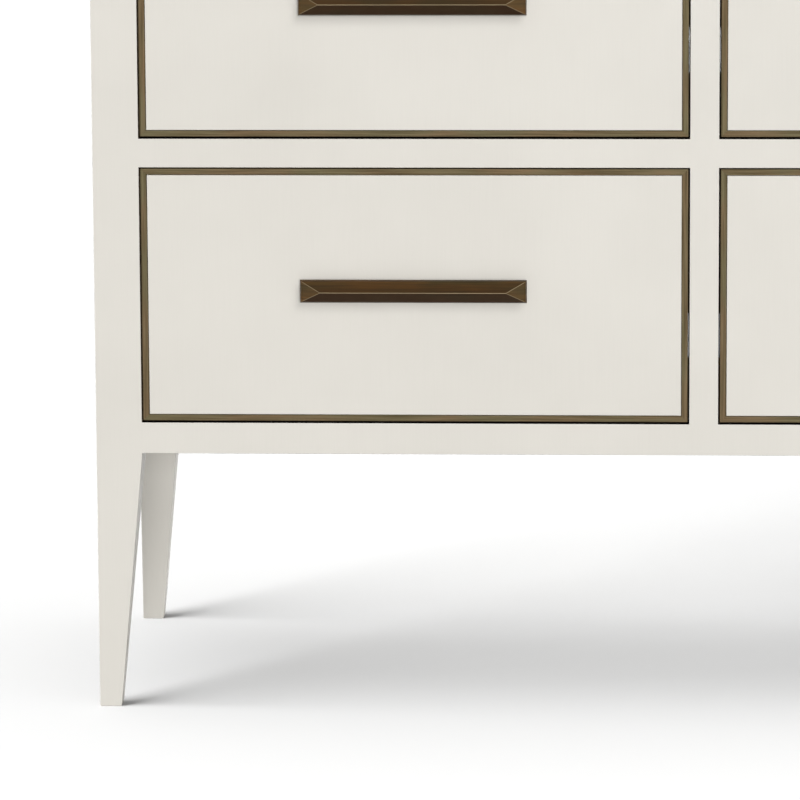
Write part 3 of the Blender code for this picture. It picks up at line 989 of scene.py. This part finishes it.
@dataclass
class Pull:
    """A drawer's pull: a hipped bronze bar on two standoffs, and the screws that hold it.

    The slope's shares are places between the drafted band, at 0, and the ridge, at 1. The ridge's
    two rings have a share of the run, a share of the height and a distance behind the ridge.
    """

    name: str
    body: str
    finishes: Finishes
    # The bar
    band: float = 0.0035
    draft: float = 0.0012
    rise: float = 0.0100
    hip_run: float = 0.0206
    arris: float = 0.0002
    arris_steps: int = 3
    growth: float = 0.00075
    lift: float = 0.0008
    slope: tuple[float, ...] = (0, 0.03, 0.1, 0.3, 0.5, 0.7, 0.9, 0.955, 0.978)
    ridge: tuple[tuple[float, ...], ...] = ((0.985, 1.0), (0.017, 0.006), (0.00008, 0))
    # Its painted highlight with wear, its painted shade with a reddish tint, as shares, and its corners
    ridge_wear_start: float = 0.955
    hip_wear_rate: float = 12.0
    end_wear: float = 0.05
    red_below: float = 0.8
    red_above: float = 0.55
    corner_points: int = 5
    corner_share: float = 0.8
    polish_width: float = 0.0002
    polish_share: float = 0.9
    # Its standoffs, washers and screws
    standoff_height: float = 0.0145
    standoff_radius: float = 0.0055
    standoff_spacing: float = 0.1600
    flange_height: float = 0.0006
    flange_width: float = 0.0005
    washer_radius: float = 0.0070
    washer_height: float = 0.0010
    washer_bevel: float = 0.0002
    washer_width: float = 0.0030
    washer_edge_share: float = 0.8
    washer_sides: int = 32
    screw: PanHead = PanHead(0.0042, 0.0026)
    screw_turns: tuple[float, float] = (0.2, 0.9)

    def build(self) -> None:
        """Builds and dresses the bar with its standoffs, and the screws."""
        self.bar()
        self.screws()

    def bar(self) -> None:
        """The hipped bar and its two standoffs, the bar a hair taller than its solid.

        The bar is a row of rounded rectangles. From its back they swell over a rounded arris, draw
        in once at the drafted band's front, and then shrink evenly to the ridge while they come
        forwards: at share s of the slope by run times s in length, and to 1 - s in height.
        """
        low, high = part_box(self.name + "_pull")
        middle = (low + high) / 2 + Vector((0, 0, self.lift))
        half_x, half_z = (high.x - low.x) / 2, (high.z - low.z) / 2 + self.growth
        back = low.y + self.band + self.rise
        inward, forward = quarter(self.arris, self.arris_steps)
        slope = np.array(self.slope)
        ridge_run, ridge_height, ridge_depth = np.array(self.ridge)
        band_x, band_z = half_x - self.draft, half_z - self.draft
        run = self.hip_run - self.draft
        size_x = np.concatenate((half_x - inward, band_x - run * slope, band_x - run * ridge_run))
        size_z = np.concatenate((half_z - inward, band_z * (1 - slope), band_z * ridge_height))
        shoulder = back - self.band
        depth = np.concatenate((back - forward, shoulder - self.rise * slope, low.y + ridge_depth))
        rings, polished = self.rounded_rings(size_x, size_z, depth, middle)
        grain = np.stack((rings[:, :, 0], rings[:, :, 2], np.zeros(rings.shape[:2])), axis=-1)
        # The painted highlight, with the rubbing of hands, grows along the hips, covers the ridge, and
        # just touches the sloping ends.
        crest = np.concatenate((np.zeros_like(inward), slope, np.ones_like(ridge_run)))[:, None]
        hip_wear = np.clip(crest * self.hip_wear_rate, 0, 1)
        ridge_wear = np.clip((crest - self.ridge_wear_start) / (slope[-1] - self.ridge_wear_start), 0, 1)
        touching, level = 0.00001, 0.999
        end = np.abs(rings[:, :, 0] - middle.x) - size_x[:, None] > -touching
        worn = np.maximum(polished * hip_wear, ridge_wear)
        worn = np.maximum(worn, self.end_wear * end * (hip_wear > 0.5))
        side = (rings[:, :, 2] - middle.z) / size_z[:, None]
        # Painted shade: upper faces darken towards the ridge, and faces that look down darken more.
        above = np.where(side > level, self.red_above * crest, 0)
        under = np.where(end, 0, np.where(side < -level, self.red_below, above))
        made = lofted(rings, grain=grain, wear=worn, under=under) + self.standoffs(middle)
        made = made.piece(self.name + "_bronze_pull")
        # The pull's bronze is painted darker than the trim's: painted shade on its sloping facets.
        dress(made, self.body, "bronze", self.finishes.pull_bronze)
        flatten(made)
        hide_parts(self.name + "_pull")

    def standoffs(self, middle: Vector) -> Skin:
        """The two round standoffs, each with a small flange where it meets the drawer's front.

        Args:
            middle: The bar's centre.

        Returns:
            Both as one skin, with the bronze's marks.
        """
        heights = np.array([0, self.flange_height, 2 * self.flange_height, self.standoff_height])
        radii = self.standoff_radius - self.flange_width * np.array([0, 0, 1, 1])
        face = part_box(self.name + "_drawer_front")[0].y
        posts = []
        for way in (-1, 1):
            foot = Vector((middle.x + way * self.standoff_spacing / 2, face, middle.z))
            post = turned(foot, Vector((0, -1, 0)), radii, heights)
            plain = np.zeros(len(post.points))
            post.marks = {"grain": post.points[:, [1, 0, 2]], "wear": plain, "under": plain}
            posts.append(post)
        return posts[0] + posts[1]

    def rounded_rings(
        self, size_x: np.ndarray, size_z: np.ndarray, depth: np.ndarray, middle: Vector
    ) -> tuple[np.ndarray, np.ndarray]:
        """Rectangles with small round corners, one for each depth.

        A corner's arc is size - r (1 - cos a), size - r (1 - sin a), for a over a quarter turn. A point on
        either side of it marks where its painted highlight ends.

        Args:
            size_x: Half the length of each ring.
            size_z: Half its height.
            depth: Its place on the y axis.
            middle: The centre of all rings.

        Returns:
            The rings' points, and how much painted highlight each point takes.
        """
        radius = np.minimum(self.arris, np.minimum(size_x, size_z) * self.corner_share)
        flank = np.minimum(self.polish_width, (size_z - radius) * self.polish_share)
        turns = np.linspace(0, math.pi / 2, self.corner_points)
        worn = np.pad(np.ones(self.corner_points), 1)
        corners = []
        for quadrant, sign in enumerate(((1, 1), (-1, 1), (-1, -1), (1, -1))):
            arc = turns if quadrant % 2 == 0 else turns[::-1]
            x = size_x[:, None] - radius[:, None] * (1 - np.cos(arc))
            z = size_z[:, None] - radius[:, None] * (1 - np.sin(arc))
            before = np.stack((size_x, size_z - radius - flank), -1)
            after = np.stack((size_x - radius - flank, size_z), -1)
            if quadrant % 2:
                before, after = after, before
            corner = np.concatenate((before[:, None], np.stack((x, z), -1), after[:, None]), axis=1)
            corners.append(corner * np.array(sign))
        flat = np.concatenate(corners, axis=1)
        points = np.empty((len(depth), flat.shape[1], 3))
        points[:, :, 0] = middle.x + flat[:, :, 0]
        points[:, :, 1] = depth[:, None]
        points[:, :, 2] = middle.z + flat[:, :, 1]
        return points, np.tile(worn, (len(depth), len(corners)))

    def screws(self) -> None:
        """The two screws with washers that hold the bar, on the rear of the drawer's front."""
        low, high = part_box(self.name + "_pull")
        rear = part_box(self.name + "_drawer_front")[1].y
        axis = Vector((0, 1, 0))
        radii = self.washer_radius - np.array([0, 0, self.washer_bevel, self.washer_width])
        heights = self.washer_height * np.array([0, self.washer_edge_share, 1, 1])
        skins = []
        for way, turn in zip((-1, 1), self.screw_turns):
            middle = (low.x + high.x) / 2 + way * self.standoff_spacing / 2
            seat = Vector((middle, rear, (low.z + high.z) / 2 + self.lift))
            skins.append(turned(seat, axis, radii, heights, self.washer_sides))
            skins.append(self.screw.skin(seat + self.washer_height * axis, axis, turn))
        made = sum(skins[1:], skins[0]).piece(self.name + "_pull_screws")
        dress(made, self.body, "zinc_steel", self.finishes.steel)
        flatten(made)


@dataclass
class Slide:
    """One slide of bent steel: a lipped channel on the case, and a hat on the drawer inside it.

    Its way is the sign of x in which the channel opens.
    """

    name: str
    body: str
    way: int
    finishes: Finishes
    metal: float = 0.0013
    bend: float = 0.0010
    lip: float = 0.0060
    clearance: float = 0.0004
    screw: PanHead = PanHead(0.0034, 0.0018)
    screw_inset: float = 0.0350
    screw_turns: tuple[float, ...] = (0.3, 1.1, 0.7)

    def build(self) -> None:
        """Builds and dresses both parts."""
        node = self.name + "_case_slide"
        half = self.half_height(node)
        lip = half - self.lip
        self.runner(node, "case", self.way, lip, half - self.metal / 2)
        node = self.name + "_drawer_slide"
        fold = lip - self.clearance - self.metal / 2
        self.runner(node, self.body, -self.way, self.half_height(node), fold)

    @staticmethod
    def half_height(node: str) -> float:
        """Gives half the height of a node."""
        low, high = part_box(node)
        return (high.z - low.z) / 2

    def runner(self, node: str, body: str, way: int, tip: float, fold: float) -> None:
        """One bent part and the screws that hold it.

        Args:
            node: The node that it replaces.
            body: The body that carries it.
            way: The sign of x in which it opens, away from what it is screwed to.
            tip: The height of its two free edges over its middle.
            fold: The height of its two walls' middle lines over its middle.
        """
        low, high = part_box(node)
        web = low.x if way > 0 else high.x
        wide = high.x - low.x - self.metal / 2
        half = [(wide, tip), (wide, fold), (self.metal / 2, fold)]
        path = np.array(half + [(out, -up) for out, up in reversed(half)])
        outline = bent_strip(path, self.metal, self.bend)
        middle = (low.z + high.z) / 2
        rings = np.empty((2, len(outline), 3))
        rings[:, :, 0] = web + way * outline[:, 0]
        rings[:, :, 1] = np.array([[low.y], [high.y]])
        rings[:, :, 2] = middle + outline[:, 1]
        made = lofted(rings)
        inset, turns = self.screw_inset, self.screw_turns
        for place, turn in zip(np.linspace(low.y + inset, high.y - inset, len(turns)), turns):
            seat = Vector((web + way * self.metal, place, middle))
            made += self.screw.skin(seat, Vector((way, 0, 0)), turn)
        made = made.piece(node + "_steel")
        dress(made, body, "zinc_steel", self.finishes.steel)
        flatten(made)
        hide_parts(node)


@dataclass
class Drawer:
    """One drawer: its lacquered front, bronze trim and pull, and its timber box on steel slides."""

    name: str
    finishes: Finishes
    arris: float = 0.0006
    trim_arris: float = 0.0005
    trim_width: float = 0.0062
    trim_gap: float = 0.0003
    mitre_gap: float = 0.00005
    box_arris: float = 0.0006

    @property
    def body(self) -> str:
        """The body that carries the drawer."""
        return self.name + "_drawer"

    def build(self) -> None:
        """Builds and dresses every piece of the drawer."""
        self.front()
        self.trim()
        Pull(self.name, self.body, self.finishes).build()
        self.box()
        for side, way in (("left", 1), ("right", -1)):
            Slide(f"{self.name}_{side}", self.body, way, self.finishes).build()

    def front(self) -> None:
        """The front panel, a profile carried round a rectangle.

        From the back, the profile goes up the rounded rear arris and the side, in over the step that the
        trim lies on, up to the face, and over its rounded arris. The side and the step get a dark paint
        that stands for the shade in the gap.
        """
        low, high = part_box(self.name + "_drawer_front")
        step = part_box(self.name + "_trim_frame")[1].y + self.trim_gap
        field_inset = self.trim_width + self.trim_gap
        inward, down = quarter(self.arris)
        insets = np.concatenate((inward, [0], [field_inset], field_inset + inward[::-1]))
        depths = np.concatenate((high.y - down, [step], [step], low.y + down[::-1]))
        rings = rectangle_rings(Face.FRONT, low, high, insets, depths)
        made = lofted(rings).piece(self.name + "_lacquered_front")
        dress(made, self.body, "lacquer", self.finishes.lacquer, self.finishes.brown_stain)
        flatten(made)
        # Four faces join each ring to the next. Those of the side and the step get the painted gap shade.
        edge = np.zeros(len(made.data.polygons), dtype=np.int32)
        edge[4 * (len(inward) - 1) : 4 * (len(inward) + 1)] = 1
        made.data.polygons.foreach_set("material_index", edge)
        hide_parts(self.name + "_drawer_front")

    def trim(self) -> None:
        """Four bronze bars with mitred ends, let in round the front.

        Each bar is its section, a rectangle with two rounded front arrises, drawn at both ends.
        A point of the section that lies further in from the edge ends as much sooner.
        """
        low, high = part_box(self.name + "_trim_frame")
        width = self.trim_width
        inward, down = quarter(self.trim_arris)
        insets = np.concatenate((inward[::-1], width - inward, [width, 0]))
        depths = np.concatenate((low.y + down[::-1], low.y + down, [high.y, high.y]))
        corners = rectangle_rings(Face.FRONT, low, high, insets, depths)
        skins = []
        for start in range(4):
            ends = np.stack((corners[:, start], corners[:, (start + 1) % 4]))
            along = ends[1, 0] - ends[0, 0]
            along /= np.linalg.norm(along)
            ends += np.array([[self.mitre_gap], [-self.mitre_gap]])[:, :, None] * along
            grain = np.zeros_like(ends)
            grain[:, :, 0] = ends @ np.abs(along)
            grain[:, :, 1] = insets + start
            plain = np.zeros(ends.shape[:2])
            skins.append(lofted(ends, grain=grain, wear=plain, under=plain))
        made = sum(skins[1:], skins[0]).piece(self.name + "_bronze_trim")
        # The trim's bronze is painted paler than the pull's: painted light on its front-facing bars.
        dress(made, self.body, "bronze", self.finishes.trim_bronze)
        flatten(made)
        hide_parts(self.name + "_trim_frame")

    def box(self) -> None:
        """Gives the carried-over timber box its finishes and eased arrises."""
        f = self.finishes
        sides = {"drawer_left_side": f.side_maple, "drawer_right_side": f.side_maple}
        for part, finish in {**sides, "drawer_back": f.back_maple, "drawer_bottom": f.plywood}.items():
            repaint(f"{self.name}_{part}", finish)
            soften(f"{self.name}_{part}", self.box_arris)


# The studio


@dataclass(frozen=True)
class Lamp:
    """A soft far lamp: where it stands as seen from the chest, and how bright and broad it is.

    Its breadth is in degrees.
    """

    name: str
    towards: tuple[float, float, float]
    strength: float
    breadth: float

    def hang(self, receivers: bpy.types.Collection) -> None:
        """Adds the lamp to the scene.

        Args:
            receivers: The collection that says what it lights.
        """
        data = bpy.data.lights.new(self.name, "SUN")
        data.energy = self.strength
        data.angle = math.radians(self.breadth)
        made = bpy.data.objects.new(self.name, data)
        bpy.context.scene.collection.objects.link(made)
        made.rotation_euler = Vector(self.towards).to_track_quat("Z", "Y").to_euler()
        made.light_linking.receiver_collection = receivers


@dataclass
class Studio:
    """A white floor without an edge, even light all round, soft lamps and the camera.

    Lengths are in metres and the camera's angles in degrees. Its focal length is in the pixels of a
    picture as wide as picture_pixels.
    """

    ambient: float = 0.20
    floor_reach: float = 40.0
    floor_cuts: int = 9
    floor_lift: float = 0.03
    floor_tone: int = 0xA1A1A1
    floor_bounce_tone: int = 0x585858
    chest_lamps: tuple[Lamp, ...] = (
        Lamp("front_lamp", (0.115, -1.0, 0.12), 1.55, 13.0),
        Lamp("key_lamp", (0.37, -1.0, 0.57), 0.74, 24.0),
        Lamp("left_lamp", (-1.0, 0.1, 0.5), 1.65, 30.0),
        Lamp("right_lamp", (1.0, 0.1, 0.5), 1.65, 30.0),
        Lamp("rear_lamp", (0.0, 1.0, 0.35), 1.75, 30.0),
    )
    floor_lamps: tuple[Lamp, ...] = (
        Lamp("overhead_lamp", (0.0, -0.02, 1.0), 3.04, 72.0),
        Lamp("floor_side_lamp", (-1.0, -0.087, 0.141), 10.5, 25.0),
        Lamp("floor_middle_lamp", (-1.0, -0.466, 0.155), 12.3, 25.0),
        Lamp("floor_corner_lamp", (-1.0, -1.0, 0.199), 13.3, 25.0),
    )
    camera_place: tuple[float, float, float] = (-0.0262, -5.4149, 1.1672)
    camera_turn: float = 3.030
    camera_tilt: float = -9.313
    camera_roll: float = -0.298
    focal_pixels: float = 5307.2
    picture_pixels: float = 800.0
    nearest: float = 0.1
    farthest: float = 200.0

    def build(self) -> None:
        """Sets up the whole studio."""
        floor = self.floor()
        self.world()
        self.lamps(floor)
        self.camera()

    def floor(self) -> bpy.types.Object:
        """Lays a white sheet that keeps the chest's shadow. Seen from below it isn't there.

        Returns:
            The floor.
        """
        cuts = self.floor_cuts
        grid = np.linspace(-self.floor_reach, self.floor_reach, cuts)
        x, y = np.meshgrid(grid, grid, indexing="ij")
        points = np.stack((x, y, np.zeros_like(x)), -1).reshape(-1, 3)
        here = np.arange(cuts**2).reshape(cuts, cuts)
        faces = np.stack((here[:-1, :-1], here[1:, :-1], here[1:, 1:], here[:-1, 1:]), -1)
        mesh = bpy.data.meshes.new("studio_floor")
        mesh.from_pydata(points.tolist(), [], faces.reshape(-1, 4).tolist())
        made = bpy.data.objects.new("studio_floor", mesh)
        bpy.context.scene.collection.objects.link(made)
        material, tree = blank("white_floor_paint")
        path = add(tree, "LightPath")
        side = add(tree, "NewGeometry")
        # Greyer paints under brighter lamps of its own keep more of the chest's shadow.
        seen = add(tree, "Math", {
            0: path.outputs["Is Camera Ray"], 1: path.outputs["Is Glossy Ray"],
        }, operation="MAXIMUM")
        tone = add(tree, "Mix", {
            0: seen.outputs[0], 6: linear(self.floor_bounce_tone), 7: linear(self.floor_tone),
        }, data_type="RGBA")
        paint = add(tree, "BsdfDiffuse", {"Color": tone.outputs[2]})
        lift = add(tree, "Math", {
            0: path.outputs["Is Camera Ray"], 1: self.floor_lift,
        }, operation="MULTIPLY")
        glow = add(tree, "Emission", {"Strength": lift.outputs[0]})
        both = add(tree, "AddShader", {0: paint.outputs[0], 1: glow.outputs[0]})
        clear = add(tree, "BsdfTransparent")
        sheet = add(tree, "MixShader", {
            0: side.outputs["Backfacing"], 1: both.outputs[0], 2: clear.outputs[0],
        })
        add(tree, "OutputMaterial", {"Surface": sheet.outputs[0]})
        mesh.materials.append(material)
        made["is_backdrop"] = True
        return made

    def world(self) -> None:
        """Even light from all round, which the camera and reflections see as plain white."""
        world = bpy.data.worlds.new("studio_light")
        world.use_nodes = True
        tree = world.node_tree
        tree.nodes.clear()
        path = add(tree, "LightPath")
        seen = add(tree, "Math", {
            0: path.outputs["Is Camera Ray"], 1: path.outputs["Is Glossy Ray"],
        }, operation="MAXIMUM")
        either = add(tree, "Math", {
            0: seen.outputs[0], 1: path.outputs["Is Transmission Ray"],
        }, operation="MAXIMUM")
        strength = add(tree, "MapRange", {
            "Value": either.outputs[0], "To Min": self.ambient, "To Max": 1.0,
        })
        light = add(tree, "Background", {"Color": (1, 1, 1, 1), "Strength": strength.outputs[0]})
        add(tree, "OutputWorld", {"Surface": light.outputs[0]})
        bpy.context.scene.world = world

    def lamps(self, floor: bpy.types.Object) -> None:
        """Hangs the chest's lamps, which throw no shadow on the floor, and the floor's own.

        Args:
            floor: The floor.
        """
        for name, state, lamps in (
            ("chest_only", "EXCLUDE", self.chest_lamps),
            ("floor_only", "INCLUDE", self.floor_lamps),
        ):
            receivers = bpy.data.collections.new(name)
            receivers.objects.link(floor)
            receivers.collection_objects[0].light_linking.link_state = state
            for lamp in lamps:
                lamp.hang(receivers)

    def camera(self) -> None:
        """The camera: right of the photographed corner and above it, turned back and down to it."""
        data = bpy.data.cameras.new("camera")
        data.lens = data.sensor_width * self.focal_pixels / self.picture_pixels
        data.clip_start, data.clip_end = self.nearest, self.farthest
        made = bpy.data.objects.new("camera", data)
        bpy.context.scene.collection.objects.link(made)
        made.matrix_world = (
            Matrix.Translation(self.camera_place)
            @ Matrix.Rotation(math.radians(self.camera_turn), 4, "Z")
            @ Matrix.Rotation(math.radians(90 + self.camera_tilt), 4, "X")
            @ Matrix.Rotation(math.radians(self.camera_roll), 4, "Z")
        )
        bpy.context.scene.camera = made
        bpy.context.scene.view_settings.view_transform = "Standard"


def corners() -> list[list[float]]:
    """The lowest and highest corner of what shows, as plain numbers."""
    bpy.context.view_layer.update()
    return [[round(value, 6) for value in corner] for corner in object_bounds()]


def main() -> None:
    logging.basicConfig(level=logging.INFO, format="%(name)s: %(message)s")
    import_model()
    solids = corners()
    finishes = Finishes.mixed()
    Case(finishes).build()
    for row in ("lower", "upper"):
        for column in ("left", "right"):
            Drawer(f"{row}_{column}", finishes).build()
    Studio().build()
    {"cad": solids, "visual": corners()}


if __name__ == "__main__":
    main()
